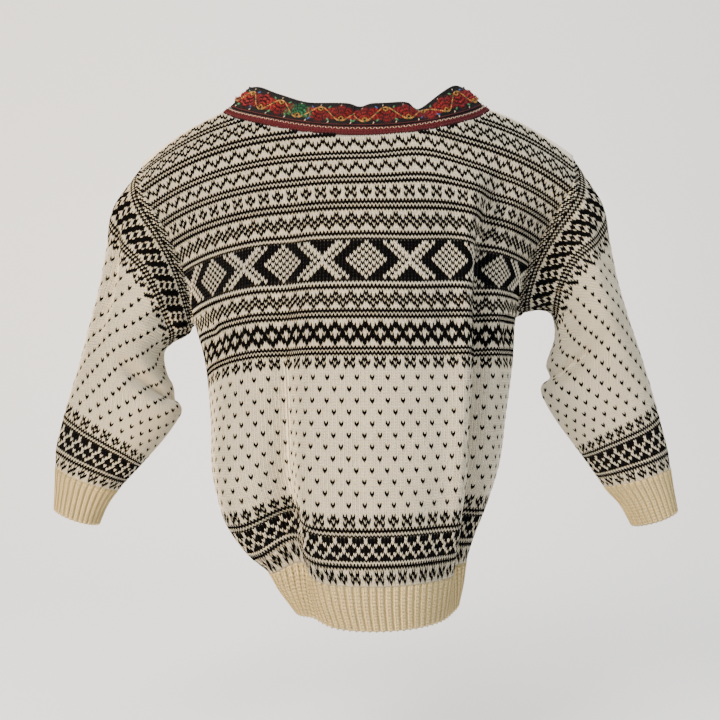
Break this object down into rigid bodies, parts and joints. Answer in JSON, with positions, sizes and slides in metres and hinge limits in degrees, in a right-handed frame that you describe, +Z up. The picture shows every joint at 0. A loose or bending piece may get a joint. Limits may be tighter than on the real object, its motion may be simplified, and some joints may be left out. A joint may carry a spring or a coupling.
{
  "type": "cardigan",
  "caption": "Child's two-colour knitted wool cardigan with ribbed hem and cuffs, an embroidered neck ribbon and pewter front clasps, filled out as worn",
  "frame": {"origin": "middle of the base of the neck, where the wearer's shoulders carry the garment", "axes": "+Z up, +X the wearer's right, +Y the wearer's front"},
  "size_m": [0.6403, 0.2222, 0.5176],
  "materials": {
    "off_white_wool": "knitted off-white wool with a near-black pattern, matt",
    "rib_wool": "ribbed off-white wool, matt",
    "red_braid": "dark red woven braid",
    "embroidered_ribbon": "black ribbon embroidered with red flowers and a yellow vine",
    "pewter": "plain cast pewter, satin"
  },
  "bodies": {
    "root": {"back": "off_white_wool", "left_front": "off_white_wool", "right_front": "off_white_wool", "left_sleeve": "off_white_wool", "right_sleeve": "off_white_wool", "left_cuff": "rib_wool", "right_cuff": "rib_wool", "hem_back": "rib_wool", "hem_left_front": "rib_wool", "hem_right_front": "rib_wool", "left_front_braid": "red_braid", "right_front_braid": "red_braid", "neck_braid": "red_braid", "neck_ribbon": "embroidered_ribbon", "clasp_1_left_plate": "pewter", "clasp_1_right_plate": "pewter", "clasp_1_hook": "pewter", "clasp_2_left_plate": "pewter", "clasp_2_right_plate": "pewter", "clasp_2_hook": "pewter", "clasp_3_left_plate": "pewter", "clasp_3_right_plate": "pewter", "clasp_3_hook": "pewter", "clasp_4_left_plate": "pewter", "clasp_4_right_plate": "pewter", "clasp_4_hook": "pewter", "clasp_5_left_plate": "pewter", "clasp_5_right_plate": "pewter", "clasp_5_hook": "pewter"}
  },
  "joints": []
}
